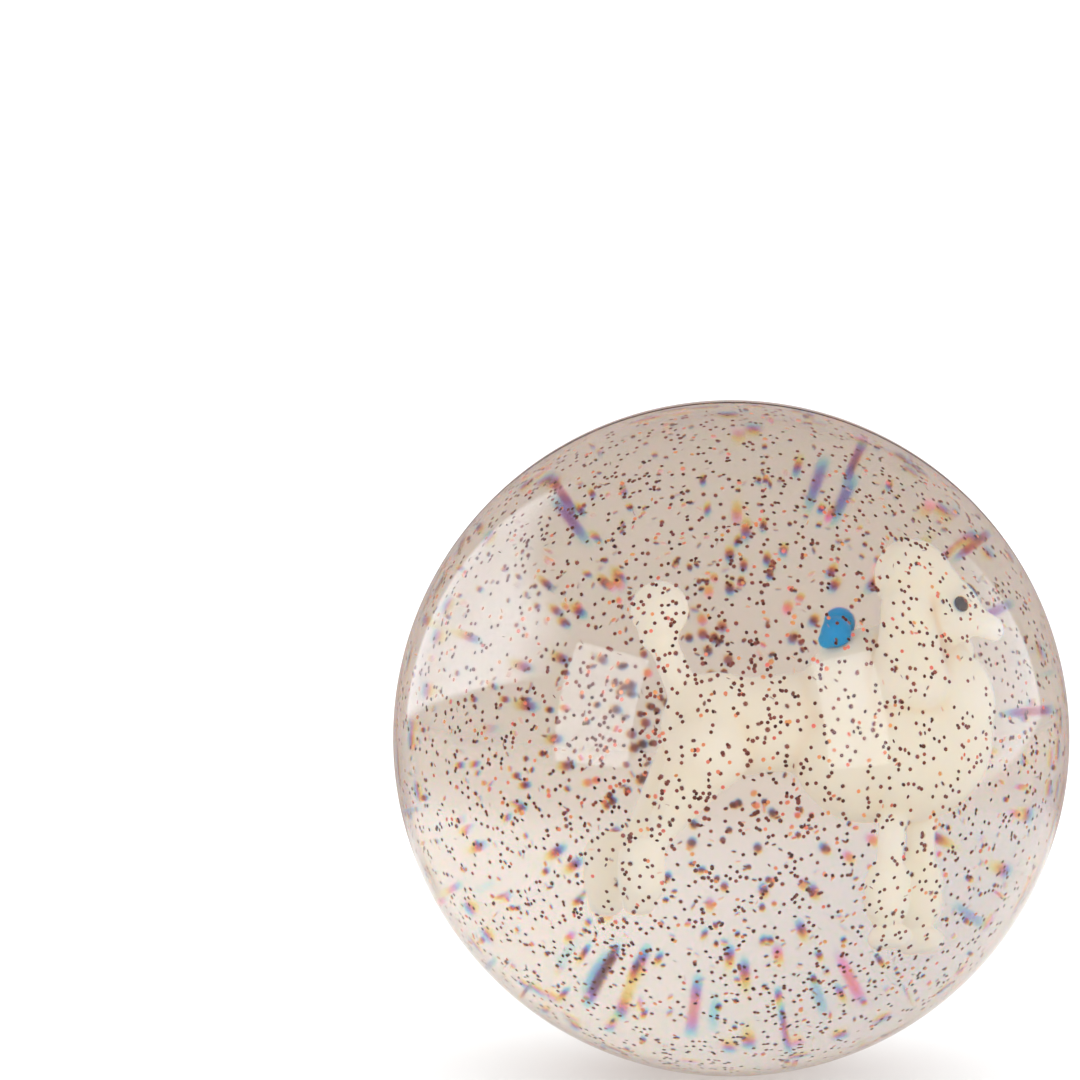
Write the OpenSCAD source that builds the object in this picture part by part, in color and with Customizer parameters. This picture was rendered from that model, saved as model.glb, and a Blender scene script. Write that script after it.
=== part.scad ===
// Bouncy ball: a clear cast ball with a moulded poodle and copper glitter inside it.
// Millimetres. The origin is the ball's centre, +Z is up and the poodle faces +X.
// The ball is poured in two halves that meet on the plane Y = 0, and the front half is on -Y.

/* [Ball] */
// Diameter of the ball
ball_d = 65; // [55:1:100]
// Depth of the fine groove that the mould leaves along the parting line
seam_depth = 0.2; // [0.05:0.05:0.6]
// Width of that groove, shared by the two halves
seam_w = 0.5; // [0.1:0.1:1.5]

/* [Figure] */
// Length of the poodle, from the hindmost leg to the tip of the muzzle
figure_l = 28.5; // [25:0.25:32]
// Height of the poodle, from the lowest sole to the top of the topknot
figure_h = 28.1; // [25:0.1:32]
// How far the hindmost leg lies behind the ball's centre
figure_back = 9.1; // [6:0.05:12]
// How far the lowest sole lies below the ball's centre
figure_drop = 14.05; // [11:0.05:17]

/* [Body] */
// Diameter of the chest, the front of the mane
chest_d = 11.4; // [9.5:0.1:12.5]
// Diameter of the shoulders, the back of the mane
shoulder_d = 9.8; // [8.5:0.1:11.5]
// Diameter of the withers, the top of the mane
withers_d = 9.6; // [8:0.1:11]
// Diameter of the bib, the hair under the throat
bib_d = 8.4; // [7:0.1:9.5]
// Diameter of the clipped loin
loin_d = 6.6; // [5.2:0.1:6.9]
// Diameter of the rump
rump_d = 7.2; // [6.6:0.1:8.5]
// Diameter of the neck where it leaves the mane
neck_base_d = 7.6; // [6.5:0.1:8.2]
// Diameter of the neck under the head
neck_top_d = 5.2; // [4.6:0.1:6]

/* [Head] */
// Diameter of the skull
skull_d = 4.8; // [4.2:0.1:5.4]
// Diameter of the topknot
topknot_d = 5.9; // [5.2:0.1:7.2]
// Diameter of the brow, the front of the topknot
brow_d = 4.2; // [3.8:0.1:5]
// Diameter of the muzzle where it leaves the skull
muzzle_base_d = 3.1; // [2.8:0.1:4.2]
// Diameter of the muzzle at its tip
muzzle_tip_d = 2; // [1.8:0.1:2.6]
// Diameter of an ear where it hangs from the head
ear_top_d = 3.8; // [3.2:0.1:4.4]
// Thickness of an ear at its full lower end, and its roundness there
ear_end_d = 4.2; // [3.8:0.1:5]
// Width of an ear at its full lower end
ear_end_w = 5.8; // [5.4:0.1:6.8]
// Distance between the middles of the two ears at the top
ear_top_spread = 5; // [4:0.1:5.6]
// Distance between the middles of the two ears at their lower ends
ear_end_spread = 7.4; // [5.6:0.1:8]
// Diameter of an eye bead
eye_d = 1.2; // [0.6:0.05:1.5]
// How far an eye is turned from straight ahead, in degrees
eye_turn = 50; // [46:1:70]
// How far an eye lies above the middle of the skull, in degrees
eye_rise = 26; // [18:1:32]

/* [Tail] */
// Diameter of the tail at its root
tail_root_d = 2.3; // [1.8:0.1:3]
// Diameter of the tail under its pompom
tail_end_d = 1.9; // [1.5:0.1:2.2]
// Diameter of the pompom on the tail, near its top
tail_pom_d = 3.9; // [3.2:0.1:4.5]
// Diameter of the pompom near its lower end
tail_pom_end_d = 2.7; // [2.4:0.1:3.1]
// Height of the pompom
tail_pom_h = 4.9; // [4.5:0.1:6]

/* [Legs] */
// Diameter of a thigh at the hip
thigh_d = 5.6; // [4.8:0.1:6.4]
// Diameter of a hind leg at the hock
hock_d = 1.8; // [1.4:0.1:2.4]
// Diameter of a front leg above its bracelet
foreleg_d = 2; // [1.6:0.1:2.4]
// Width of a bracelet, the ball of hair round a lower leg
bracelet_d = 3.2; // [2.9:0.1:3.8]
// Height of a bracelet
bracelet_h = 4.7; // [4.4:0.1:5.5]
// Length of a front foot
fore_foot_l = 3.3; // [2.6:0.1:4.2]
// Length of a hind foot
hind_foot_l = 2.3; // [2:0.1:3.2]
// Height of a foot, and its width
foot_d = 1.7; // [1.3:0.1:2.2]
// Distance between the middles of a left and a right leg
stance_w = 4.8; // [4.2:0.1:6]
// How far the far hind foot is set back from the near one
hind_stagger = 1.6; // [0:0.1:3]
// How far the far front leg is set ahead of the near one
fore_stagger = 1.1; // [0:0.1:3]

/* [Bow] */
// Width of the bow over both of its loops
bow_l = 4.5; // [4.3:0.1:6]
// Diameter of a loop
bow_loop_d = 2.1; // [1.8:0.1:2.3]
// Diameter of the small lobe below a loop
bow_end_d = 1.2; // [1:0.1:1.4]
// How far that lobe hangs below the loop, down the nape
bow_hang = 0.85; // [0.7:0.05:1]
// Diameter of the knot
bow_knot_d = 1.6; // [1.4:0.1:1.8]
// How far back from the top of the withers the bow sits, in degrees
bow_back = 25; // [10:1:35]
// How far the bow leans toward the head, in degrees
bow_lean = 50; // [35:1:60]
// How deep the knot is set into the withers
bow_seat = 0.2; // [0.1:0.05:0.5]

/* [Glitter] */
// Size of a hexagonal flake across its corners
flake_d = 0.4; // [0.2:0.05:1.5]
// Thickness of a flake
flake_t = 0.05; // [0.02:0.01:0.2]
// Flakes modelled in each half; the real ball holds a few thousand
flakes_per_half = 110; // [20:1:200]
// Clear cover over the outermost flakes
flake_cover = 0.6; // [0.3:0.1:2]
// Depth of the layer in which the modelled flakes lie
flake_layer = 3; // [1:0.1:5]
// Largest tilt of a flake away from the ball's surface, in degrees
flake_tilt = 25; // [0:1:60]

/* [Hidden] */

$fn = 72;

// Each half by its name: which side of the parting plane it is on
FRONT = -1;
REAR = 1;

// Places on the figure: along its length from the hindmost foot, and up its height from the lowest sole
rump_share = [0.287, 0.523];
loin_share = [0.547, 0.545];
shoulder_share = [0.626, 0.48];
chest_share = [0.728, 0.509];
withers_share = [0.646, 0.589];
bib_share = [0.795, 0.582];
neck_base_share = [0.714, 0.619];
neck_top_share = [0.775, 0.792];
skull_share = [0.849, 0.82];
topknot_share = [0.763, 0.895];
brow_share = [0.816, 0.874];
muzzle_share = [0.965, 0.781];
ear_top_share = [0.751, 0.842];
ear_end_share = [0.758, 0.667];
tail_root_share = [0.223, 0.575];
tail_pom_share = [0.153, 0.804];

// Places on the near legs, in the same way
hip_share = [0.265, 0.483];
hock_share = [0.149, 0.276];
hind_bracelet_share = [0.113, 0.196];
hind_foot_share = [0.107, 0.121];
elbow_share = [0.702, 0.393];
fore_bracelet_share = [0.686, 0.141];
fore_foot_share = [0.696, 0.03];

// How much of the hind stagger the hock has
hock_stagger_share = 0.5;

// Turn of every ball and cone, which points the poles and seams of their surfaces away from the parting plane
off_plane = [90, 0, 90];
// The same for the top of an ear, whose poles lie inside the topknot and the ear
in_ear = [0, 0, 90];
// How far the cone of a limb lies inside the balls at its ends, of their diameters
join_share = 0.94;
// The same for the waist of a stretched ball
waist_share = 0.985;
// Thickness of the ankle inside a foot, of the foot's height
ankle_share = 0.8;
// Turn from one flake to the next round the ball's Y axis, which spreads them evenly
golden_turn = 180 * (3 - sqrt(5));
// Step that spreads the flakes' depths and tilts
golden_share = (sqrt(5) - 1) / 2;

ball_r = ball_d / 2;

// A place on the figure, from its shares and from how far it lies out to one side
function at(share, out = 0) = [share.x * figure_l - figure_back, out, share.y * figure_h - figure_drop];

// A place on a leg: side is FRONT for the near leg and REAR for the far one, which is shifted by its stagger
function on_leg(share, side, stagger) = at(share, side * stance_w / 2) + [side == REAR ? stagger : 0, 0, 0];

// The angles that turn +Z onto a direction
function aim(v) = [0, acos(v.z / norm(v)), atan2(v.y, v.x)];

// The direction of an eye from the middle of the skull
function eye_dir(side) = [
    cos(eye_rise) * cos(eye_turn),
    side * cos(eye_rise) * sin(eye_turn),
    sin(eye_rise)
];

// The bow's place, with its knot resting on the withers
bow_dir = [-sin(bow_back), 0, cos(bow_back)];
bow_at = at(withers_share) + bow_dir * (withers_d / 2 + bow_knot_d / 2 - bow_seat);

// The k-th flake of a half: its direction from the ball's centre
flake_rim_share = flake_d / ball_r;
function flake_y(k) = flake_rim_share + (1 - flake_rim_share) * (k + 0.5) / flakes_per_half;
function flake_dir(k, side) = [
    sqrt(1 - pow(flake_y(k), 2)) * cos(k * golden_turn),
    side * flake_y(k),
    sqrt(1 - pow(flake_y(k), 2)) * sin(k * golden_turn)
];
// A share from 0 to 1 that spreads evenly over the flakes
function spread_share(k) = k * golden_share - floor(k * golden_share);

// A ball of hair, flesh or cloth
module knob(p, d, turn = off_plane) {
    translate(p) rotate(turn) sphere(d = d);
}

// The cone that joins two knobs, and lies a little inside both
module limb(p, q, d_p, d_q) {
    translate(p)
        rotate(aim(q - p))
            rotate(off_plane.z)
                cylinder(h = norm(q - p), d1 = join_share * d_p, d2 = join_share * d_q);
}

// A knob stretched along a direction to a full length
module pill(p, dir, d, length) {
    half = dir * (length - d) / 2;
    waist_d = waist_share / join_share * d;
    knob(p - half, d);
    knob(p + half, d);
    limb(p - half, p + half, waist_d, waist_d);
}

module torso() {
    knob(at(rump_share), rump_d);
    limb(at(rump_share), at(loin_share), loin_d, loin_d);
    knob(at(shoulder_share), shoulder_d);
    knob(at(chest_share), chest_d);
    knob(at(withers_share), withers_d);
    knob(at(bib_share), bib_d);
    limb(at(neck_base_share), at(neck_top_share), neck_base_d, neck_top_d);
    knob(at(neck_top_share), neck_top_d);
}

// A hanging ear, which spreads from its top to the front and the back of its full lower end
module ear(side) {
    top = at(ear_top_share, side * ear_top_spread / 2);
    end = at(ear_end_share, side * ear_end_spread / 2);
    spread = [(ear_end_w - ear_end_d) / 2, 0, 0];
    knob(top, ear_top_d, in_ear);
    for (corner = [end - spread, end + spread]) {
        limb(top, corner, ear_top_d, ear_end_d);
        knob(corner, ear_end_d);
    }
}

module head() {
    knob(at(skull_share), skull_d);
    knob(at(topknot_share), topknot_d);
    knob(at(brow_share), brow_d);
    limb(at(skull_share), at(muzzle_share), muzzle_base_d, muzzle_tip_d);
    knob(at(muzzle_share), muzzle_tip_d);
    ear(FRONT);
    ear(REAR);
}

// The tail, with an egg-shaped pompom that narrows to the stem
module tail() {
    top = at(tail_pom_share);
    low = top - [0, 0, tail_pom_h - (tail_pom_d + tail_pom_end_d) / 2];
    limb(at(tail_root_share), low, tail_root_d, tail_end_d);
    knob(top, tail_pom_d);
    limb(top, low, tail_pom_d, tail_pom_end_d);
    knob(low, tail_pom_end_d);
}

// A bracelet of hair at p, and below it the foot at q, which an ankle joins to it
module lower_leg(p, q, foot_l) {
    pill(p, [0, 0, 1], bracelet_d, bracelet_h);
    limb(p, q, foot_d, ankle_share * foot_d);
    pill(q, [1, 0, 0], foot_d, foot_l);
}

module hind_leg(side) {
    hip = on_leg(hip_share, side, 0);
    hock = on_leg(hock_share, side, -hock_stagger_share * hind_stagger);
    bracelet = on_leg(hind_bracelet_share, side, -hind_stagger);
    knob(hip, thigh_d);
    limb(hip, hock, thigh_d, hock_d);
    knob(hock, hock_d);
    limb(hock, bracelet, hock_d, hock_d);
    lower_leg(bracelet, on_leg(hind_foot_share, side, -hind_stagger), hind_foot_l);
}

module fore_leg(side) {
    bracelet = on_leg(fore_bracelet_share, side, fore_stagger);
    limb(on_leg(elbow_share, side, fore_stagger), bracelet, foreleg_d, foreleg_d);
    lower_leg(bracelet, on_leg(fore_foot_share, side, fore_stagger), fore_foot_l);
}

// The whole figure, before the eyes and the bow are set into it
module figure_form() {
    torso();
    head();
    tail();
    for (side = [FRONT, REAR]) {
        hind_leg(side);
        fore_leg(side);
    }
}

module eye_beads() {
    for (side = [FRONT, REAR])
        knob(at(skull_share) + skull_d / 2 * eye_dir(side), eye_d);
}

// One loop of the bow: a full ball of ribbon beside the knot, and a small lobe below it
module bow_loop(side) {
    reach = (bow_l - bow_loop_d) / 2;
    knob([0, side * reach, 0], bow_loop_d);
    knob([0, side * reach, -bow_hang], bow_end_d);
}

module bow_form() {
    translate(bow_at)
        rotate([0, bow_lean, 0]) {
            bow_loop(FRONT);
            bow_loop(REAR);
            knob([0, 0, 0], bow_knot_d);
        }
}

module flakes(side) {
    for (k = [0 : flakes_per_half - 1])
        rotate(aim(flake_dir(k, side)))
            translate([0, 0, ball_r - flake_cover - flake_layer * spread_share(k)])
                rotate([0, flake_tilt * spread_share(k + flakes_per_half), k * golden_turn])
                    cylinder(d = flake_d, h = flake_t, center = true, $fn = 6);
}

// Quarter disc that turns into a half ball, with its share of the seam groove taken off the rim
module half_outline() {
    difference() {
        intersection() {
            circle(d = ball_d);
            square(ball_d);
        }
        polygon([
            [ball_r - seam_depth, 0],
            [ball_r + seam_depth, -seam_w],
            [ball_r + seam_depth, seam_w]
        ]);
    }
}

module cast_half(side) {
    difference() {
        rotate([-side * 90, 0, 0]) rotate_extrude($fn = 144) half_outline();
        figure_form();
        bow_form();
        eye_beads();
        flakes(side);
    }
}

module front_half() {
    color([0.86, 0.82, 0.78, 0.35]) cast_half(FRONT);
}

module rear_half() {
    color([0.86, 0.82, 0.78, 0.35]) cast_half(REAR);
}

module poodle() {
    color([0.93, 0.87, 0.73]) difference() {
        figure_form();
        bow_form();
        eye_beads();
    }
}

module neck_bow() {
    color([0.13, 0.5, 0.72]) bow_form();
}

module eyes() {
    color([0.08, 0.07, 0.07]) eye_beads();
}

module glitter_flakes() {
    color([0.33, 0.15, 0.11]) {
        flakes(FRONT);
        flakes(REAR);
    }
}

front_half();
rear_half();
poodle();
neck_bow();
eyes();
glitter_flakes();
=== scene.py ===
"""Looks of the bouncy ball: a clear cast ball with a moulded poodle and copper glitter inside it."""

import math

import bmesh
import bpy
import numpy as np
from mathutils import Matrix, Vector


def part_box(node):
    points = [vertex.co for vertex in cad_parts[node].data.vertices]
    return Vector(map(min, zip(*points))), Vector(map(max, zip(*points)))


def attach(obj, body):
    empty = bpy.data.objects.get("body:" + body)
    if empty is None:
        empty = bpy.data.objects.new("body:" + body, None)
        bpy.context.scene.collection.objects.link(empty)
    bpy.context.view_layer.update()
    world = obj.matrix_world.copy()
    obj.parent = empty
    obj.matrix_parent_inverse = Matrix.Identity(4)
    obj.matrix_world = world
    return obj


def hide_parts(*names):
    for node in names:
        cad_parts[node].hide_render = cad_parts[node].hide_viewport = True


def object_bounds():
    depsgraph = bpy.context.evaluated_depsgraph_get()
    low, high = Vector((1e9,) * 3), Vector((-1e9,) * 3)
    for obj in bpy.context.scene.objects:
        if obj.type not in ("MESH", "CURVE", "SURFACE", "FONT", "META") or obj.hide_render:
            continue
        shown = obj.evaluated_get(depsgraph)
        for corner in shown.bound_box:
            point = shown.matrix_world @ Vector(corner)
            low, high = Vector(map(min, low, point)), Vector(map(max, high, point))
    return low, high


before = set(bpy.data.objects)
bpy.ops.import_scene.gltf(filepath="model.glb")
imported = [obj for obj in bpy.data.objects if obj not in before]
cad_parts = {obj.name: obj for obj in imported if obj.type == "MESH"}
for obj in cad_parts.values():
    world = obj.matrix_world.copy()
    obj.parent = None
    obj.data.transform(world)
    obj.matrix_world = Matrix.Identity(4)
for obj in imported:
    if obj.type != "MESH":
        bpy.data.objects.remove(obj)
CAD_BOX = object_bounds()

bl_info = {
    "name": "Bouncy Ball",
    "version": (1, 0, 0),
    "blender": (4, 5, 0),
    "location": "3D View > Sidebar > Ball",
    "description": "Makes the looks of a clear bouncy ball with a moulded poodle and copper glitter inside",
    "category": "Object",
}

BODY = "root"
BALL_R = (CAD_BOX[1].x - CAD_BOX[0].x) / 2


# ---------------------------------------------------------------- sizes and colours


class BallSettings(bpy.types.PropertyGroup):
    """The clear cast body."""

    radius: bpy.props.FloatProperty(
        name="Radius",
        description="Radius of the ball",
        default=BALL_R,
        min=0.001,
        unit="LENGTH",
    )
    seam_depth: bpy.props.FloatProperty(
        name="Seam Depth",
        description="Depth of the fine groove along the parting line",
        default=0.0002,
        min=0,
        precision=5,
        unit="LENGTH",
    )
    seam_width: bpy.props.FloatProperty(
        name="Seam Width",
        description="Width of that groove",
        default=0.0005,
        min=0.0001,
        precision=5,
        unit="LENGTH",
    )
    # A dull brown strip along the parting line, which from the camera's side lies on the ball's outline.
    seam_colour: bpy.props.FloatVectorProperty(
        name="Seam Colour",
        description="Brown of the parting line",
        default=(0.2, 0.09, 0.075),
        min=0,
        max=1,
        subtype="COLOR",
    )
    tint: bpy.props.FloatVectorProperty(
        name="Tint",
        description="What one crossing of the ball's surface leaves of white light",
        default=(0.965, 0.93, 0.89),
        min=0,
        max=1,
        subtype="COLOR",
    )
    ior: bpy.props.FloatProperty(
        name="IOR",
        description="Refractive index of the cast rubber",
        default=1.5,
        min=1,
        max=2,
    )
    dispersion: bpy.props.FloatProperty(
        name="Dispersion",
        description="Step of the index from one band of the rainbow to the next",
        default=0.004,
        min=0,
    )
    haze: bpy.props.FloatProperty(
        name="Haze",
        description="Roughness of the ball's skin",
        default=0.05,
        min=0,
        max=1,
        subtype="FACTOR",
    )
    shade: bpy.props.FloatVectorProperty(
        name="Lamp Light Let In",
        description="What one wall of the ball lets through of a lamp's straight light",
        default=(0.69, 0.687, 0.68),
        min=0,
        max=1,
        subtype="COLOR",
    )


class FigureSettings(bpy.types.PropertyGroup):
    """The poodle, its bow and its eyes."""

    grain: bpy.props.FloatProperty(
        name="Grain",
        description="Edge of the cells that the figure is cast in",
        default=0.0002,
        min=0.0001,
        precision=5,
        unit="LENGTH",
    )
    passes: bpy.props.IntProperty(
        name="Soft Passes",
        description="How often the creases are filled",
        default=50,
        min=0,
    )
    hair: bpy.props.FloatVectorProperty(
        name="Hair",
        description="Cream of the poodle",
        default=(0.95, 0.92, 0.82),
        min=0,
        max=1,
        subtype="COLOR",
    )
    hair_warm: bpy.props.FloatVectorProperty(
        name="Warm Hair",
        description="Warmer cream in the cloudy patches",
        default=(0.93, 0.87, 0.73),
        min=0,
        max=1,
        subtype="COLOR",
    )
    # Painted shade: a darker cream that the crease attribute mixes in, standing for the shade that falls in
    # the figure's creases.
    painted_crease_shade: bpy.props.FloatVectorProperty(
        name="Painted Crease Shade",
        description="Darker cream in the creases",
        default=(0.8, 0.69, 0.52),
        min=0,
        max=1,
        subtype="COLOR",
    )
    # How deep a crease must be for its painted shade to be full.
    crease: bpy.props.FloatProperty(
        name="Crease",
        description="Depth at which a crease has its full colour",
        default=0.0004,
        min=0.00001,
        precision=5,
        unit="LENGTH",
    )
    bleed: bpy.props.FloatProperty(
        name="Bleed",
        description="How far light travels in the vinyl",
        default=0.003,
        min=0,
        precision=5,
        unit="LENGTH",
    )
    ribbon: bpy.props.FloatVectorProperty(
        name="Ribbon",
        description="Blue of the bow",
        default=(0.002, 0.39, 0.87),
        min=0,
        max=1,
        subtype="COLOR",
    )
    eye_swell: bpy.props.FloatProperty(
        name="Eye Swell",
        description="Half the thickness of an eye's drop of paint",
        default=0.00025,
        min=0.00005,
        precision=5,
        unit="LENGTH",
    )
    eye: bpy.props.FloatVectorProperty(
        name="Eye",
        description="Dark of the eyes",
        default=(0.02, 0.025, 0.035),
        min=0,
        max=1,
        subtype="COLOR",
    )


class GlitterSettings(bpy.types.PropertyGroup):
    """The copper flakes in the clear body."""

    count: bpy.props.IntProperty(
        name="Count",
        description="Number of flakes, before those inside the figure are left out",
        default=8600,
        min=1,
        max=9500,
    )
    size: bpy.props.FloatProperty(
        name="Size",
        description="Width of a flake over its corners",
        default=0.00039,
        min=0.00005,
        precision=5,
        unit="LENGTH",
    )
    thickness: bpy.props.FloatProperty(
        name="Thickness",
        description="Thickness of a flake",
        default=0.00003,
        min=0.000005,
        precision=6,
        unit="LENGTH",
    )
    cover: bpy.props.FloatProperty(
        name="Cover",
        description="Clear rubber over the outermost flakes",
        default=0.0003,
        min=0,
        precision=5,
        unit="LENGTH",
    )
    layer: bpy.props.FloatProperty(
        name="Layer",
        description="Depth of the layer that holds most flakes",
        default=0.0025,
        min=0,
        precision=5,
        unit="LENGTH",
    )
    layer_share: bpy.props.FloatProperty(
        name="Layer Share",
        description="Share of the flakes in that layer",
        default=0.6,
        min=0,
        max=1,
        subtype="FACTOR",
    )
    # Painted glints: a share of the flakes gets a bright copper colour that stands for the sparkle of
    # flakes mirroring the lamps.
    glint_share: bpy.props.FloatProperty(
        name="Glint Share",
        description="Share of bright copper flakes in that layer. Under it the share is twice as large",
        default=0.12,
        min=0,
        max=1,
        subtype="FACTOR",
    )
    tilt: bpy.props.FloatProperty(
        name="Tilt",
        description="Usual tilt of a flake in that layer from the ball's surface",
        default=math.radians(18),
        subtype="ANGLE",
    )
    dark: bpy.props.FloatVectorProperty(
        name="Dark Flake",
        description="Maroon of most flakes",
        default=(0.26, 0.075, 0.06),
        min=0,
        max=1,
        subtype="COLOR",
    )
    # The bright copper and the red below are partly the foil's colour and partly painted glints.
    bright: bpy.props.FloatVectorProperty(
        name="Bright Flake",
        description="Copper of the bright flakes",
        default=(1, 0.46, 0.14),
        min=0,
        max=1,
        subtype="COLOR",
    )
    red: bpy.props.FloatVectorProperty(
        name="Red Flake",
        description="Red that the bright flakes shade into",
        default=(1, 0.2, 0.17),
        min=0,
        max=1,
        subtype="COLOR",
    )
    seed: bpy.props.IntProperty(
        name="Seed",
        description="Seed of the flakes' places",
        default=3,
    )


class StageSettings(bpy.types.PropertyGroup):
    """Camera, floor and studio light."""

    distance: bpy.props.FloatProperty(
        name="Distance",
        description="From the camera to the ball",
        default=0.9,
        min=0.1,
        unit="LENGTH",
    )
    elevation: bpy.props.FloatProperty(
        name="Elevation",
        description="How far above the ball's middle the camera looks from",
        default=math.radians(9),
        subtype="ANGLE",
    )
    ball_px: bpy.props.FloatVectorProperty(
        name="Ball Place",
        description="The ball's middle in the picture, in pixels from its left and top edges",
        size=2,
        default=(731, 738),
    )
    ball_r_px: bpy.props.FloatProperty(
        name="Ball Size",
        description="The ball's radius in the picture, in pixels",
        default=338,
    )
    backdrop: bpy.props.FloatVectorProperty(
        name="Backdrop",
        description="The studio's far wall, as the ball shows it",
        default=(0.93, 0.89, 0.87),
        min=0,
        subtype="COLOR",
    )
    dim_side: bpy.props.FloatVectorProperty(
        name="Dim Side",
        description="The far wall at its dimmer side",
        default=(0.73, 0.71, 0.74),
        min=0,
        subtype="COLOR",
    )
    sweep: bpy.props.FloatVectorProperty(
        name="Sweep",
        description="The far floor, where it rises into the wall",
        default=(0.77, 0.71, 0.67),
        min=0,
        subtype="COLOR",
    )
    room: bpy.props.FloatVectorProperty(
        name="Room",
        description="The studio beside the ball",
        default=(0.64, 0.56, 0.55),
        min=0,
        subtype="COLOR",
    )
    fill: bpy.props.FloatVectorProperty(
        name="Fill",
        description="The soft light that the studio gives all round",
        default=(1.35, 1.34, 1.33),
        min=0,
        subtype="COLOR",
    )
    floor: bpy.props.FloatVectorProperty(
        name="Floor",
        description="The pale floor",
        default=(0.49, 0.445, 0.41),
        min=0,
        max=1,
        subtype="COLOR",
    )
    softbox: bpy.props.FloatProperty(
        name="Softbox",
        description="Brightness of the two softboxes beside the camera, where 1 is white",
        default=3.0,
        min=0,
    )
    panel_left: bpy.props.FloatProperty(
        name="Left Panel",
        description="Brightness of the tall panel at the left, where 1 is white",
        default=5.2,
        min=0,
    )
    panel_right: bpy.props.FloatProperty(
        name="Right Panel",
        description="Brightness of the tall panel at the right, where 1 is white",
        default=2.6,
        min=0,
    )


# ---------------------------------------------------------------- shader wiring


class Wire:
    """A socket that can be used in sums: an expression on wires adds Math nodes to the tree."""

    def __init__(self, maker, socket):
        self.maker, self.socket = maker, socket

    def _math(self, operation, *values):
        return self.maker.node("ShaderNodeMath", {"operation": operation}, dict(enumerate(values)))

    def __add__(self, other):
        return self._math("ADD", self, other)

    def __radd__(self, other):
        return self._math("ADD", other, self)

    def __sub__(self, other):
        return self._math("SUBTRACT", self, other)

    def __rsub__(self, other):
        return self._math("SUBTRACT", other, self)

    def __mul__(self, other):
        return self._math("MULTIPLY", self, other)

    def __rmul__(self, other):
        return self._math("MULTIPLY", other, self)

    def __truediv__(self, other):
        return self._math("DIVIDE", self, other)

    def __rtruediv__(self, other):
        return self._math("DIVIDE", other, self)

    def __pow__(self, other):
        return self._math("POWER", self, other)

    def __rpow__(self, other):
        return self._math("POWER", other, self)

    def __abs__(self):
        return self._math("ABSOLUTE", self)

    def most(self, other):
        return self._math("MAXIMUM", self, other)

    def least(self, other):
        return self._math("MINIMUM", self, other)


class Maker:
    """Adds nodes to one node tree, emptied first."""

    def __init__(self, tree):
        self.tree = tree
        tree.nodes.clear()

    def node(self, kind, settings=None, sockets=None, out=0):
        """One node of that kind, with its settings made first and then its sockets set or linked.
        Gives one output as a Wire, where the node has any."""
        made = self.tree.nodes.new(kind)
        for name, value in (settings or {}).items():
            setattr(made, name, value)
        for name, value in (sockets or {}).items():
            socket = made.inputs[name]
            if isinstance(value, Wire):
                self.tree.links.new(value.socket, socket)
            elif socket.type == "RGBA":
                socket.default_value = (*value, 1)
            else:
                socket.default_value = value
        return Wire(self, made.outputs[out]) if len(made.outputs) else None

    def mix(self, share, first, second):
        """Two colours, mixed."""
        sockets = {"Factor": share, 6: first, 7: second}
        return self.node("ShaderNodeMix", {"data_type": "RGBA"}, sockets, out=2)

    def blend(self, share, first, second):
        """Two shaders, mixed."""
        return self.node("ShaderNodeMixShader", None, {0: share, 1: first, 2: second})

    def both(self, first, second):
        """Two shaders, added."""
        return self.node("ShaderNodeAddShader", None, {0: first, 1: second})

    def rise(self, value, start, end, height=1.0):
        """A smooth step: 0 up to the value start, and height from the value end on. Either may be
        the larger."""
        return self.node(
            "ShaderNodeMapRange",
            {"interpolation_type": "SMOOTHSTEP"},
            {"Value": value, "From Min": start, "From Max": end, "To Min": 0.0, "To Max": height},
        )

    def place(self):
        """The piece's own Object coordinates."""
        return self.node("ShaderNodeTexCoord", out="Object")

    def noise(self, scale, detail=3.0):
        """Cloudy noise on those coordinates, with scale in waves to a metre."""
        sockets = {"Vector": self.place(), "Scale": scale, "Detail": detail}
        return self.node("ShaderNodeTexNoise", None, sockets)

    def parts(self, vector):
        """The x, y and z of a vector."""
        return (self.node("ShaderNodeSeparateXYZ", None, {0: vector}, out=axis) for axis in "XYZ")

    def ray(self, kind):
        """What Light Path says of the ray under that name."""
        return self.node("ShaderNodeLightPath", out=kind)

    def diffuse(self, colour):
        """A plain dull shader."""
        return self.node("ShaderNodeBsdfDiffuse", None, {"Color": colour})

    def surface(self, shader):
        """Makes a shader the material's surface."""
        self.node("ShaderNodeOutputMaterial", None, {"Surface": shader})

    def principled(self, sockets):
        """Makes a Principled shader with those sockets the material's surface."""
        self.surface(self.node("ShaderNodeBsdfPrincipled", None, sockets))


def new_material(name):
    material = bpy.data.materials.new(name)
    material.use_nodes = True
    return material, Maker(material.node_tree)


# ---------------------------------------------------------------- materials

# What each band of light, from red to violet, holds of red, green and blue. The bands add up to white.
RAINBOW = (
    (0.5, 0.0, 0.0),
    (0.38, 0.25, 0.0),
    (0.08, 0.5, 0.08),
    (0.0, 0.25, 0.42),
    (0.04, 0.0, 0.5),
)

# How much of the parting line's middle its brown covers, and between which distances from there the
# brown fades out, as shares of the groove's width.
SEAM_COVER = 0.65
SEAM_FADE_SHARES = (0.2, 0.5)

# Waves to a metre of the figure's cloudy patches, of the fine curl in its skin, and of the uneven
# cover of the ribbon's and the eyes' paint.
HAIR_CLOUDS = 260
HAIR_CURLS = 1500
RIBBON_CLOUDS = 700
EYE_CLOUDS = 1200

# The curl's share of the figure's bump, and what the ribbon's thicker paint keeps of its blue.
CURL_SHARE = 0.7
RIBBON_DEEP_SHARE = 0.72
EYE_BROWN = (0.06, 0.03, 0.02)


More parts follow.
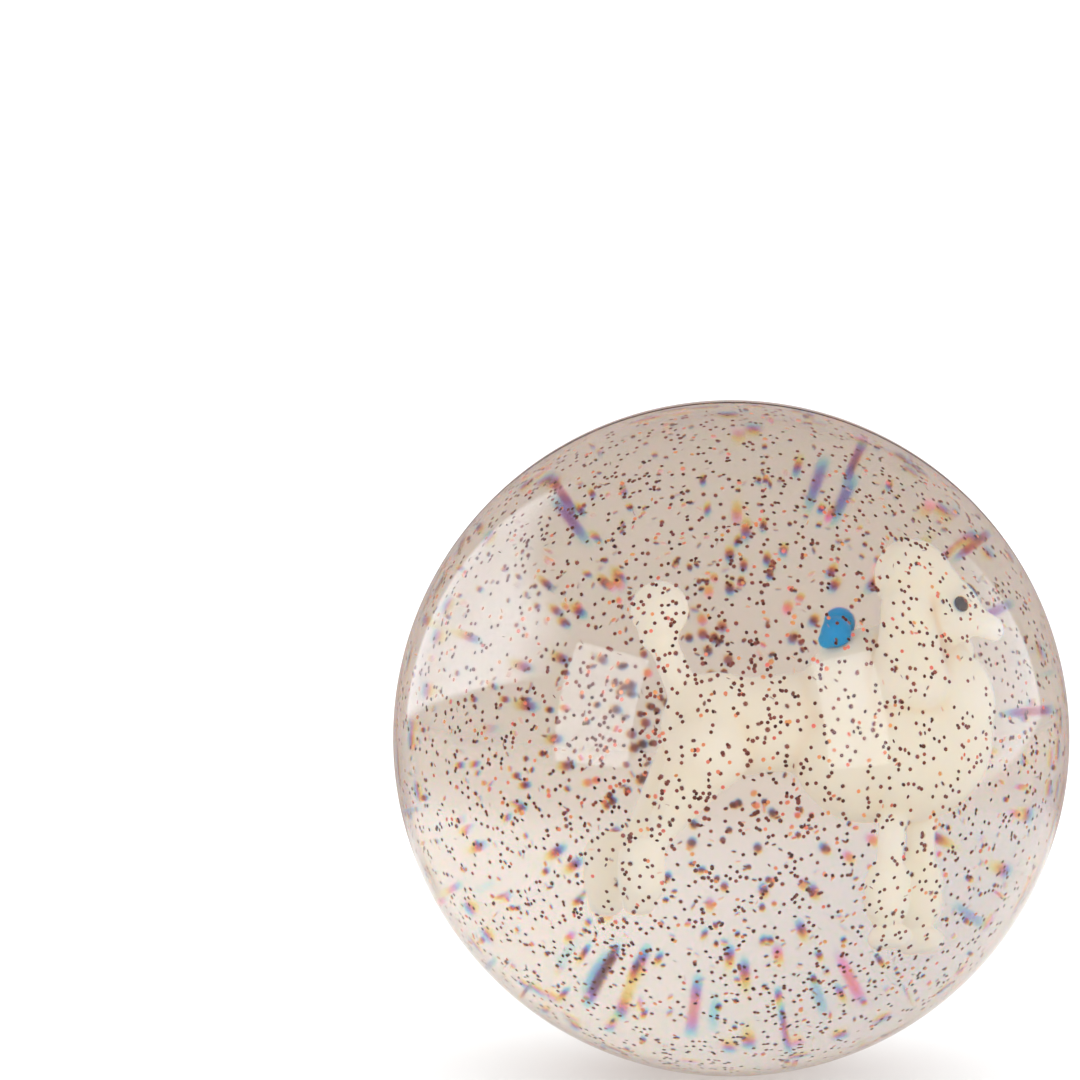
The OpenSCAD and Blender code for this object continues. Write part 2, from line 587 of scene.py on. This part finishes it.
def clear_rubber(ball):
    """Clear cast rubber: a tinted glass for each band of the rainbow, with indices that differ a
    little, so that edges seen through the ball get their colours. Straight lamp light comes in
    through its wall. A dull brown strip runs along the parting line, which from the front lies on
    the ball's outline."""
    material, m = new_material("clear_rubber")
    _, y, _ = m.parts(m.place())
    inner, outer = (share * ball.seam_width for share in SEAM_FADE_SHARES)
    seam = m.rise(abs(y), outer, inner, SEAM_COVER)
    middle_band = (len(RAINBOW) - 1) / 2
    rubber = None
    for k, band in enumerate(RAINBOW):
        glass = m.node(
            "ShaderNodeBsdfGlass",
            None,
            {
                "Color": [whole * part for whole, part in zip(ball.tint, band)],
                "Roughness": ball.haze,
                "IOR": ball.ior + (k - middle_band) * ball.dispersion,
            },
        )
        rubber = m.both(rubber, glass) if rubber else glass
    rubber = m.blend(seam, rubber, m.diffuse(ball.seam_colour))
    let_in = m.node("ShaderNodeBsdfTransparent", None, {"Color": ball.shade})
    m.surface(m.blend(m.ray("Is Shadow Ray"), rubber, let_in))
    return material


def cream_vinyl(figure):
    """Cream moulded vinyl: soft cloudy patches of a warmer cream, painted shade in the creases, a
    fine curl in the skin and a dull sheen."""
    material, m = new_material("cream_vinyl")
    clouds = m.noise(HAIR_CLOUDS)
    curls = m.noise(HAIR_CURLS)
    # Painted shade: the deeper a vertex lies in a crease, the more of the darker shade colour it gets.
    depth = m.node("ShaderNodeAttribute", {"attribute_name": "crease"}, out="Fac")
    deep = (depth / figure.crease).most(0).least(1)
    height = CURL_SHARE * curls + (1 - CURL_SHARE) * clouds
    bump = {"Strength": 0.25, "Distance": 0.0001, "Height": height}
    m.principled(
        {
            "Base Color": m.mix(deep, m.mix(clouds, figure.hair, figure.hair_warm), figure.painted_crease_shade),
            "Roughness": 0.55 + 0.2 * clouds,
            "Specular IOR Level": 0.08,
            "Subsurface Weight": 0.9,
            "Subsurface Radius": (1, 0.9, 0.75),
            "Subsurface Scale": figure.bleed,
            "Normal": m.node("ShaderNodeBump", None, bump),
        }
    )
    return material


def blue_ribbon(figure):
    """Blue painted vinyl, a little uneven in its cover."""
    material, m = new_material("blue_ribbon")
    clouds = m.noise(RIBBON_CLOUDS)
    deep = [RIBBON_DEEP_SHARE * c for c in figure.ribbon]
    bump = {"Strength": 0.2, "Distance": 0.00005, "Height": clouds}
    m.principled(
        {
            "Base Color": m.mix(clouds, figure.ribbon, deep),
            "Roughness": 0.4 + 0.15 * clouds,
            "Specular IOR Level": 0.3,
            "Normal": m.node("ShaderNodeBump", None, bump),
        }
    )
    return material


def eye_paint(figure):
    """Glossy dark paint with a brown cast in places."""
    material, m = new_material("eye_paint")
    clouds = m.noise(EYE_CLOUDS, detail=2.0)
    m.principled(
        {
            "Base Color": m.mix(clouds, figure.eye, EYE_BROWN),
            "Roughness": 0.12 + 0.1 * clouds,
            "Coat Weight": 0.4,
        }
    )
    return material


def copper_foil():
    """Coloured metal foil: each flake carries its own colour in the attribute foil, a bright painted
    glint for some, and in its alpha how metallic it is."""
    material, m = new_material("copper_foil")
    foil, metal = (
        m.node("ShaderNodeAttribute", {"attribute_name": "foil"}, out=part) for part in ("Color", "Alpha")
    )
    m.principled({"Base Color": foil, "Metallic": metal, "Roughness": 0.3})
    return material


# ---------------------------------------------------------------- surfaces

# The poodle's and the bow's cells are smoothed this much and this often before their creases are filled.
CELL_SMOOTHING = 0.5
CELL_PASSES = 6
# Corners of a CAD mesh that are no further apart than this, in metres, are one.
SAME_POINT = 1e-6

FLAKE_SIDES = 6
# Under the layer, the flakes' tilt and their share of bright ones, which are painted glints, are this many
# times as large.
DEEP_FACTOR = 2
# How far a dark flake's brightness and its three colours stray from the usual, as shares.
DARK_STRAY = 0.4
HUE_STRAY = 0.1
# How metallic a bright flake is: mostly dull, so that its painted glint shows whatever the lamps. A dark
# one is metal.
GLINT_METAL = 0.2


def unit(v):
    """Vectors of length 1 in the same directions."""
    return v / np.linalg.norm(v, axis=-1, keepdims=True)


def vertex_array(mesh, what="co"):
    """The places (co) or normals (normal) of a mesh's vertices as an array."""
    values = np.empty(len(mesh.vertices) * 3, np.float32)
    if what == "co":
        mesh.vertices.foreach_get("co", values)
    else:
        mesh.vertex_normals.foreach_get("vector", values)
    return values.reshape(-1, 3)


def add_piece(name, mesh, material):
    """A smooth-shaded piece at the origin, from its mesh."""
    mesh.shade_smooth()
    mesh.materials.clear()
    mesh.materials.append(material)
    piece = bpy.data.objects.new(name, mesh)
    bpy.context.scene.collection.objects.link(piece)
    return piece


def mesh_piece(name, points, faces, material):
    """A smooth-shaded piece at the origin, from an array of points and lists of faces."""
    mesh = bpy.data.meshes.new(name)
    mesh.from_pydata(points.tolist(), [], faces)
    mesh.update()
    return add_piece(name, mesh, material)


def ring_faces(rings, turns):
    """Faces of a closed form of rings of points round an axis, with one end point at each pole: a
    quad between each two neighbours on a ring and those on the next, and a triangle from an end point
    to each two neighbours on its ring. The points go ring by ring, and the two end points come last."""
    i, j = np.meshgrid(np.arange(rings - 1), np.arange(turns), indexing="ij")
    k = (j + 1) % turns
    quads = np.stack([i * turns + j, (i + 1) * turns + j, (i + 1) * turns + k, i * turns + k], -1)
    j = np.arange(turns)
    k = (j + 1) % turns
    pole = np.full(turns, rings * turns)
    last = (rings - 1) * turns
    first_cap = np.stack([pole, j, k], -1)
    last_cap = np.stack([pole + 1, last + k, last + j], -1)
    return quads.reshape(-1, 4), np.concatenate([first_cap, last_cap])


def cast_ball(radius, depth, width, rings=260, turns=320, crowding=0.78):
    """The ball as an outline carried round the Y axis. At angle t from the +Y pole the outline is at
    y = r cos t and stands r sin t from the axis, where r is the radius less depth times a bell curve
    of y over half the width. The angles crowd together at the seam, y = 0: t goes with s and its
    cube, where s runs evenly from -1 to 1."""
    s = np.linspace(-1, 1, rings + 2)[1:-1]
    t = math.pi / 2 * (1 + (1 - crowding) * s + crowding * s**3)
    r = radius - depth * np.exp(-((2 * radius * np.cos(t) / width) ** 2))
    u = np.linspace(0, 2 * math.pi, turns, endpoint=False)
    away = (r * np.sin(t))[:, None]
    along = np.repeat((r * np.cos(t))[:, None], turns, 1)
    wall = np.stack([away * np.cos(u), along, away * np.sin(u)], -1).reshape(-1, 3)
    points = np.concatenate([wall, [[0, radius, 0], [0, -radius, 0]]])
    quads, caps = ring_faces(rings, turns)
    # The turns run the other way round the axis than in ring_faces, so the faces are turned over.
    return points, quads[:, [0, 3, 2, 1]].tolist() + caps[:, [0, 2, 1]].tolist()


def neighbour_middle(mesh):
    """A function of an array of the vertices' places that gives the middle of each vertex's
    neighbours along the edges."""
    edges = np.empty(len(mesh.edges) * 2, np.int32)
    mesh.edges.foreach_get("vertices", edges)
    first, second = edges.reshape(-1, 2).T
    ends, others = np.concatenate([first, second]), np.concatenate([second, first])
    n = len(mesh.vertices)
    count = np.bincount(ends, minlength=n)[:, None]

    def middle(places):
        return np.stack([np.bincount(ends, places[others, axis], n) for axis in range(3)], -1) / count

    return middle


def fill_creases(mesh, passes):
    """Fills the creases and leaves the ridges alone: in each pass a vertex moves along its normal,
    half as far as the middle of its neighbours lies outside it, or not at all where that lies inside.
    Last, each vertex goes to the middle of its neighbours once."""
    middle = neighbour_middle(mesh)
    places, normals = vertex_array(mesh).astype(float), vertex_array(mesh, "normal")
    for _ in range(passes):
        out = ((middle(places) - places) * normals).sum(1, keepdims=True)
        places = places + normals * np.maximum(out, 0) / 2
    mesh.vertices.foreach_set("co", middle(places).astype(np.float32).ravel())
    mesh.update()


def crease_depth(mesh, passes=60):
    """How deep each vertex lies in a crease. The mesh is smoothed by moving each vertex to the middle
    of its neighbours that many times, and the depth is how far that takes it along its normal, which
    is less than zero on a ridge."""
    middle = neighbour_middle(mesh)
    places = smooth = vertex_array(mesh).astype(float)
    for _ in range(passes):
        smooth = middle(smooth)
    return ((smooth - places) * vertex_array(mesh, "normal")).sum(1)


def soft_copy(node, name, grain, passes, material):
    """A CAD solid as one soft skin: its mesh is merged, recast in fine cells, smoothed a little, and
    its creases are filled."""
    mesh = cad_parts[node].data.copy()
    work = bmesh.new()
    work.from_mesh(mesh)
    bmesh.ops.remove_doubles(work, verts=work.verts, dist=SAME_POINT)
    work.to_mesh(mesh)
    work.free()
    block = bpy.data.objects.new(name + "_block", mesh)
    bpy.context.scene.collection.objects.link(block)
    cells = block.modifiers.new("cells", "REMESH")
    cells.mode, cells.voxel_size, cells.adaptivity = "VOXEL", grain, 0
    soft = block.modifiers.new("soft", "SMOOTH")
    soft.factor, soft.iterations = CELL_SMOOTHING, CELL_PASSES
    skin = bpy.data.meshes.new_from_object(block.evaluated_get(bpy.context.evaluated_depsgraph_get()))
    bpy.data.objects.remove(block)
    bpy.data.meshes.remove(mesh)
    skin.name = name
    fill_creases(skin, passes)
    return add_piece(name, skin, material)


def eye_drops(centres, skin, normals, radius, swell, reach=1.3, rings=14, turns=28):
    """A flat drop of paint at each centre. Its axis n is the mean normal of the skin within reach
    times its radius. At angles t from the axis and u round it, a point is at the centre plus n times
    swell cos t, plus radius sin t times the direction at u across n."""
    near = np.linalg.norm(centres[:, None] - skin[None], axis=-1) < reach * radius
    axis = unit(near @ normals)
    side = unit(np.cross(axis, [[0, 0, 1.0]]))
    up = np.cross(axis, side)
    t = np.linspace(0, math.pi, rings + 2)[1:-1]
    u = np.linspace(0, 2 * math.pi, turns, endpoint=False)[:, None]
    n, a, b = axis[:, None, None], side[:, None, None], up[:, None, None]
    away = (radius * np.sin(t))[:, None, None]
    along = (swell * np.cos(t))[:, None, None]
    wall = centres[:, None, None] + along * n + away * (np.cos(u) * a + np.sin(u) * b)
    ends = centres[:, None] + axis[:, None] * np.array([[[swell], [-swell]]])
    points = np.concatenate([wall.reshape(len(centres), -1, 3), ends], 1)
    start = (np.arange(len(centres)) * points.shape[1])[:, None, None]
    quads, caps = ring_faces(rings, turns)
    faces = (start + quads).reshape(-1, 4).tolist() + (start + caps).reshape(-1, 3).tolist()
    return points.reshape(-1, 3), faces


def flake_places(glitter, radius, figure_mesh):
    """Places and facings of the flakes, which of them lie in the layer, and the random numbers to go
    on with. Directions are even over the sphere. A share of the flakes lies at an even depth in the
    layer under the skin, and the rest is even in the volume, so its distance from the middle goes
    with the cube root of an even number. Flakes inside the figure are left out: those behind the
    facing plane of the figure's nearest point. A flake faces outward, plus a random tilt."""
    rng = np.random.default_rng(glitter.seed)
    n = glitter.count
    outward = unit(rng.normal(size=(n, 3)))
    outer = radius - glitter.cover
    in_layer = rng.random(n) < glitter.layer_share
    under_skin = outer - glitter.layer * rng.random(n)
    in_volume = (outer - glitter.layer) * np.cbrt(rng.random(n))
    places = outward * np.where(in_layer, under_skin, in_volume)[:, None]
    spread = math.tan(glitter.tilt) * np.where(in_layer, 1, DEEP_FACTOR)[:, None]
    facing = unit(outward + spread * rng.normal(size=(n, 3)) / math.sqrt(2))
    body, normals = vertex_array(figure_mesh), vertex_array(figure_mesh, "normal")
    low, high = body.min(0) - glitter.size, body.max(0) + glitter.size
    near = np.all((places > low) & (places < high), -1)
    close = places[near].astype(np.float32)
    gaps = (close**2).sum(1)[:, None] + (body**2).sum(1)[None] - 2 * close @ body.T
    nearest = gaps.argmin(1)
    clear = ((close - body[nearest]) * normals[nearest]).sum(1) > glitter.size / 2
    keep = np.ones(n, bool)
    keep[np.flatnonzero(near)[~clear]] = False
    return places[keep], facing[keep], in_layer[keep], rng


def hexagon_flakes(places, facing, turn, size, thickness):
    """One flat six-sided prism for each place: the six corners stand at size / 2 from its middle,
    every 60 degrees in the plane across its facing, once half a thickness above and once below it."""
    steep = np.abs(facing[:, 2:]) >= 0.9
    side = unit(np.cross(facing, np.where(steep, [[1.0, 0, 0]], [[0, 0, 1.0]])))
    up = np.cross(facing, side)
    corner = np.arange(FLAKE_SIDES)
    angle = (turn[:, None] + corner * math.pi / (FLAKE_SIDES / 2))[..., None]
    ring = places[:, None] + (np.cos(angle) * side[:, None] + np.sin(angle) * up[:, None]) * size / 2
    lift = (facing * thickness / 2)[:, None]
    points = np.concatenate([ring + lift, ring - lift], 1).reshape(-1, 3)
    first = (np.arange(len(places)) * 2 * FLAKE_SIDES)[:, None]
    tops = first + corner
    bottoms = first + FLAKE_SIDES + corner[::-1]
    following = (corner + 1) % FLAKE_SIDES
    rim = np.stack([corner + FLAKE_SIDES, following + FLAKE_SIDES, following, corner], -1)
    edges = (first[..., None] + rim).reshape(-1, 4)
    return points, tops.tolist() + bottoms.tolist() + edges.tolist()


# ---------------------------------------------------------------- operators for the pieces


class BALL_OT_cast_body(bpy.types.Operator):
    """Make the clear ball with its parting seam"""

    bl_idname = "ball.cast_body"
    bl_label = "Clear Body"

    def execute(self, context):
        ball = context.scene.ball_body
        points, faces = cast_ball(ball.radius, ball.seam_depth, ball.seam_width)
        body = mesh_piece("clear_body", points, faces, clear_rubber(ball))
        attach(body, BODY)
        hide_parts("front_half", "rear_half")
        return {"FINISHED"}


class BALL_OT_poodle(bpy.types.Operator):
    """Make the moulded poodle"""

    bl_idname = "ball.poodle"
    bl_label = "Poodle"

    def execute(self, context):
        figure = context.scene.ball_figure
        poodle = soft_copy("poodle", "poodle_figure", figure.grain, figure.passes, cream_vinyl(figure))
        # The crease depth goes on the skin, where the material paints shade into the creases.
        crease = poodle.data.attributes.new("crease", "FLOAT", "POINT")
        crease.data.foreach_set("value", crease_depth(poodle.data).astype(np.float32))
        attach(poodle, BODY)
        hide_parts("poodle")
        return {"FINISHED"}


class BALL_OT_neck_bow(bpy.types.Operator):
    """Make the bow on the nape"""

    bl_idname = "ball.neck_bow"
    bl_label = "Neck Bow"

    def execute(self, context):
        figure = context.scene.ball_figure
        bow = soft_copy("neck_bow", "ribbon_bow", figure.grain / 2, figure.passes, blue_ribbon(figure))
        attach(bow, BODY)
        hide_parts("neck_bow")
        return {"FINISHED"}


class BALL_OT_eyes(bpy.types.Operator):
    """Make the two painted eye drops, where the eye beads are"""

    bl_idname = "ball.eyes"
    bl_label = "Eyes"

    def execute(self, context):
        figure = context.scene.ball_figure
        skin = bpy.data.objects["poodle_figure"].data
        low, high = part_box("eyes")
        across = high.x - low.x
        middle = (low + high) / 2
        aside = (high.y - low.y - across) / 2
        centres = np.array([[middle.x, middle.y + side * aside, middle.z] for side in (-1, 1)])
        points, faces = eye_drops(
            centres, vertex_array(skin), vertex_array(skin, "normal"), across / 2, figure.eye_swell
        )
        eyes = mesh_piece("eye_drops", points, faces, eye_paint(figure))
        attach(eyes, BODY)
        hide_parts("eyes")
        return {"FINISHED"}


class BALL_OT_glitter(bpy.types.Operator):
    """Spread the copper flakes through the clear body"""

    bl_idname = "ball.glitter"
    bl_label = "Glitter"

    def execute(self, context):
        glitter = context.scene.ball_glitter
        figure = bpy.data.objects["poodle_figure"].data
        places, facing, in_layer, rng = flake_places(glitter, context.scene.ball_body.radius, figure)
        n = len(places)
        turn = rng.random(n) * 2 * math.pi
        points, faces = hexagon_flakes(places, facing, turn, glitter.size, glitter.thickness)
        flakes = mesh_piece("copper_glitter", points, faces, copper_foil())
        flakes.data.shade_flat()
        # Painted glints: a share of the flakes, twice as large under the layer, gets a bright copper colour
        # that stands for the sparkle of flakes mirroring the lamps.
        glint_share = glitter.glint_share * np.where(in_layer, 1, DEEP_FACTOR)[:, None]
        lit = rng.random((n, 1)) < glint_share
        hue = rng.random((n, 1))
        warm = hue * np.array(glitter.bright) + (1 - hue) * np.array(glitter.red)
        dark = np.array(glitter.dark) * rng.uniform(1 - DARK_STRAY, 1 + DARK_STRAY, (n, 1))
        dark = dark * rng.uniform(1 - HUE_STRAY, 1 + HUE_STRAY, (n, 3))
        metal = np.where(lit, GLINT_METAL, 1.0)
        colour = np.concatenate([np.clip(np.where(lit, warm, dark), 0, 1), metal], 1)
        foil = flakes.data.attributes.new("foil", "FLOAT_COLOR", "POINT")
        foil.data.foreach_set("color", np.repeat(colour, 2 * FLAKE_SIDES, 0).astype(np.float32).ravel())
        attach(flakes, BODY)
        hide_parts("glitter_flakes")
        return {"FINISHED"}


# ---------------------------------------------------------------- stage

# The picture's width and height in pixels, the camera's sensor in millimetres, and the nearest and
# furthest that it sees, in metres.
PHOTO_PX = 1080
SENSOR_MM = 36
CLIP = (0.01, 20)

# The cool white of the softboxes and panels, and how far the softboxes stand from the ball.
LAMP_COLOUR = (0.9, 1, 1.15)
SOFTBOX_AWAY = 0.6

# Half the floor's width, and the distances from the ball's middle between which it fades out: for
# the light, and in the ball's gloss. All in metres.
FLOOR_HALF = 3.0
FLOOR_FADE = (0.05, 0.4)
GLOSS_FADE = (0.1, 0.14)
# The floor's waves of specks to a metre, and how bright the darker specks are.
FLOOR_SPECKS = 40
SPECK_SHARE = 0.98
# The floor that the camera and the ball's gloss see, its glow for the camera, and the floor that
# light meets after it has left a dull surface.
FLOOR_WHITE = (0.94, 0.96, 0.97)
FLOOR_GLOW = 0.05
FLOOR_BOUNCE = (0.95, 0.95, 0.95)
WHITE = (1, 1, 1)

# Where parts of the room fade into each other, on the unit sphere of directions: the dim side into
# the bright one along x, the sweep into the wall along z, and the room into the wall along y.
SIDE_FADE = (-0.5, 0.6)
SWEEP_FADE = (-0.06, 0.14)
ROOM_FADE = (0.28, 0.5)
# How soft a panel's far edge is, and how fast it fades in at the plane x = 0.
PANEL_EDGE = 0.015
PANEL_SIDE = 0.05
# What the left panel loses of its brightness towards its far edge, and between which places along y.
PANEL_LOSS = 0.65
LOSS_FADE = (0.1, 0.75)


def look_from(azimuth, elevation):
    """The direction from the ball to a place round it: azimuth 0 is on -Y, and 90 is on +X."""
    return Vector(
        (
            math.sin(azimuth) * math.cos(elevation),
            -math.cos(azimuth) * math.cos(elevation),
            math.sin(elevation),
        )
    )


def facing_back(way):
    """The turn of what stands in that direction from the ball and looks back: -Z at the ball, Y up."""
    return (-way).to_track_quat("-Z", "Y").to_matrix()


def area_lamp(name, azimuth, elevation, wide, tall, brightness, lights):
    """A flat lamp of cool light that faces the ball, with angles in degrees. Its power is its
    brightness times pi times its area. One that doesn't light only shows in the ball's gloss."""
    lamp = bpy.data.lights.new(name, "AREA")
    lamp.color = LAMP_COLOUR
    lamp.shape, lamp.size, lamp.size_y = "RECTANGLE", wide, tall
    lamp.energy = brightness * math.pi * wide * tall
    held = bpy.data.objects.new(name, lamp)
    way = look_from(math.radians(azimuth), math.radians(elevation))
    held.matrix_world = Matrix.Translation(way * SOFTBOX_AWAY) @ facing_back(way).to_4x4()
    held.visible_camera = False
    held.visible_diffuse = lights
    held.visible_transmission = False
    bpy.context.scene.collection.objects.link(held)


def studio_floor(stage):
    """The floor's material: pale for the light, fading into the sweep away from the ball, white near
    the ball in its gloss, and white where the camera looks at it straight, so that only the ball's
    shadow shows."""
    material, m = new_material("studio_floor")
    pale = m.mix(m.noise(FLOOR_SPECKS), stage.floor, [SPECK_SHARE * c for c in stage.floor])
    away = m.node("ShaderNodeVectorMath", {"operation": "LENGTH"}, {0: m.place()}, out="Value")
    clear = m.node("ShaderNodeBsdfTransparent")
    white = m.diffuse(FLOOR_WHITE)
    bounced = m.ray("Diffuse Depth").least(1)
    lit = m.blend(m.rise(away, *FLOOR_FADE), m.diffuse(m.mix(bounced, pale, FLOOR_BOUNCE)), clear)
    mirrored = m.blend(m.rise(away, *GLOSS_FADE), white, clear)
    # Light that a rough glass lets through counts as glossy too, so it is taken out here.
    in_gloss = m.ray("Is Glossy Ray") * (1 - m.ray("Is Transmission Ray"))
    lit = m.blend(in_gloss, lit, mirrored)
    glow = m.node("ShaderNodeEmission", None, {"Color": WHITE, "Strength": FLOOR_GLOW})
    m.surface(m.blend(m.ray("Is Camera Ray"), lit, m.both(white, glow)))
    return material


def studio_world(stage):
    """The room: white where the camera looks at it straight. Through the ball it is a sweep that rises
    into the backdrop before and behind it, with the dimmer room at its sides. In the ball's gloss it
    also holds two tall pale panels, one on each side."""
    world = bpy.data.worlds.new("studio")
    world.use_nodes = True
    m = Maker(world.node_tree)
    x, y, z = m.parts(m.node("ShaderNodeTexCoord", out="Generated"))
    level = (1 - z * z) ** 0.5

    def panel(side, far_share, slant, foot, top, near):
        """A panel on one side, -1 or 1: it ends sharply where y is that share of the direction's level
        length, has a slanted foot, and fades out between two heights and, towards the camera, between
        two places along y."""
        wide = m.rise(x, 0, side * PANEL_SIDE) * m.rise(y - far_share * level, PANEL_EDGE, -PANEL_EDGE)
        return wide * m.rise(z + slant * y, *foot) * m.rise(z, *top) * m.rise(y, *near)

    left = panel(-1, far_share=0.83, slant=0.39, foot=(0.21, 0.24), top=(0.68, 0.48), near=(-0.4, 0.05))
    left = left * (1 - PANEL_LOSS * m.rise(y, *LOSS_FADE))
    right = panel(1, far_share=0.67, slant=-0.25, foot=(-0.23, -0.19), top=(0.65, 0.15), near=(-0.3, 0.35))
    gloss = m.mix(left, stage.room, [stage.panel_left * c for c in LAMP_COLOUR])
    gloss = m.mix(right, gloss, [stage.panel_right * c for c in LAMP_COLOUR])

    side = m.mix(m.rise(x, *SIDE_FADE), stage.dim_side, stage.backdrop)
    wall = m.mix(m.rise(z, *SWEEP_FADE), stage.sweep, side)
    through = m.mix(m.rise(abs(y), *ROOM_FADE), stage.room, wall)

    colour = m.mix(m.ray("Is Glossy Ray"), stage.fill, gloss)
    colour = m.mix(m.ray("Is Transmission Ray"), colour, through)
    colour = m.mix(m.ray("Is Camera Ray"), colour, WHITE)
    light = m.node("ShaderNodeBackground", None, {"Color": colour, "Strength": 1.0})
    m.node("ShaderNodeOutputWorld", None, {"Surface": light})
    return world


class BALL_OT_stage(bpy.types.Operator):
    """Set the floor, the light and the camera"""

    bl_idname = "ball.stage"
    bl_label = "Stage"

    def execute(self, context):
        scene, stage = context.scene, context.scene.ball_stage
        radius = scene.ball_body.radius
        scene.view_settings.view_transform = "Standard"
        scene.world = studio_world(stage)
        square = np.array([[-1, -1, 0], [1, -1, 0], [1, 1, 0], [-1, 1, 0]])
        corners = FLOOR_HALF * square - [0, 0, radius]
        floor = mesh_piece("floor", corners, [[0, 1, 2, 3]], studio_floor(stage))
        area_lamp(
            "softbox_left",
            azimuth=-47,
            elevation=15.6,
            wide=0.29,
            tall=0.38,
            brightness=1.2 * stage.softbox,
            lights=False,
        )
        area_lamp(
            "softbox_right",
            azimuth=42.5,
            elevation=15,
            wide=0.23,
            tall=0.37,
            brightness=0.9 * stage.softbox,
            lights=True,
        )
        distance = stage.distance
        pixel = radius / stage.ball_r_px
        right, down = ((p - PHOTO_PX / 2) * pixel for p in stage.ball_px)
        camera = bpy.data.cameras.new("camera")
        camera.sensor_width = SENSOR_MM
        camera.lens = SENSOR_MM * distance / (PHOTO_PX * pixel)
        camera.clip_start, camera.clip_end = CLIP
        # The camera is turned a little off the ball, so that the ball lies beside the picture's middle.
        way = look_from(math.atan2(right, distance), stage.elevation - math.atan2(down, distance))
        turn = facing_back(way)
        place = way * distance - turn @ Vector((right, -down, 0))
        held = bpy.data.objects.new("camera", camera)
        held.matrix_world = Matrix.Translation(place) @ turn.to_4x4()
        scene.collection.objects.link(held)
        scene.camera = held
        return {"FINISHED"}


# ---------------------------------------------------------------- panel and registration


class BALL_PT_maker(bpy.types.Panel):
    """The steps that make the ball, in order"""

    bl_idname = "BALL_PT_maker"
    bl_label = "Bouncy Ball"
    bl_space_type = "VIEW_3D"
    bl_region_type = "UI"
    bl_category = "Ball"

    def draw(self, context):
        for name, group, steps in STEPS:
            box = self.layout.box()
            for setting in group.__annotations__:
                box.prop(getattr(context.scene, name), setting)
            for step in steps:
                box.operator(step.bl_idname)


# Each group of settings, by its name on the scene, with the operators that it serves.
STEPS = (
    ("ball_body", BallSettings, (BALL_OT_cast_body,)),
    ("ball_figure", FigureSettings, (BALL_OT_poodle, BALL_OT_neck_bow, BALL_OT_eyes)),
    ("ball_glitter", GlitterSettings, (BALL_OT_glitter,)),
    ("ball_stage", StageSettings, (BALL_OT_stage,)),
)
CLASSES = (*(made for _, group, steps in STEPS for made in (group, *steps)), BALL_PT_maker)


def register():
    for made in CLASSES:
        bpy.utils.register_class(made)
    for name, group, _ in STEPS:
        setattr(bpy.types.Scene, name, bpy.props.PointerProperty(type=group))


def unregister():
    for name, _, _ in STEPS:
        delattr(bpy.types.Scene, name)
    for made in reversed(CLASSES):
        bpy.utils.unregister_class(made)


def main():
    register()
    bpy.ops.ball.cast_body()
    bpy.ops.ball.poodle()
    bpy.ops.ball.neck_bow()
    bpy.ops.ball.eyes()
    bpy.ops.ball.glitter()
    bpy.ops.ball.stage()


if __name__ == "__main__":
    main()
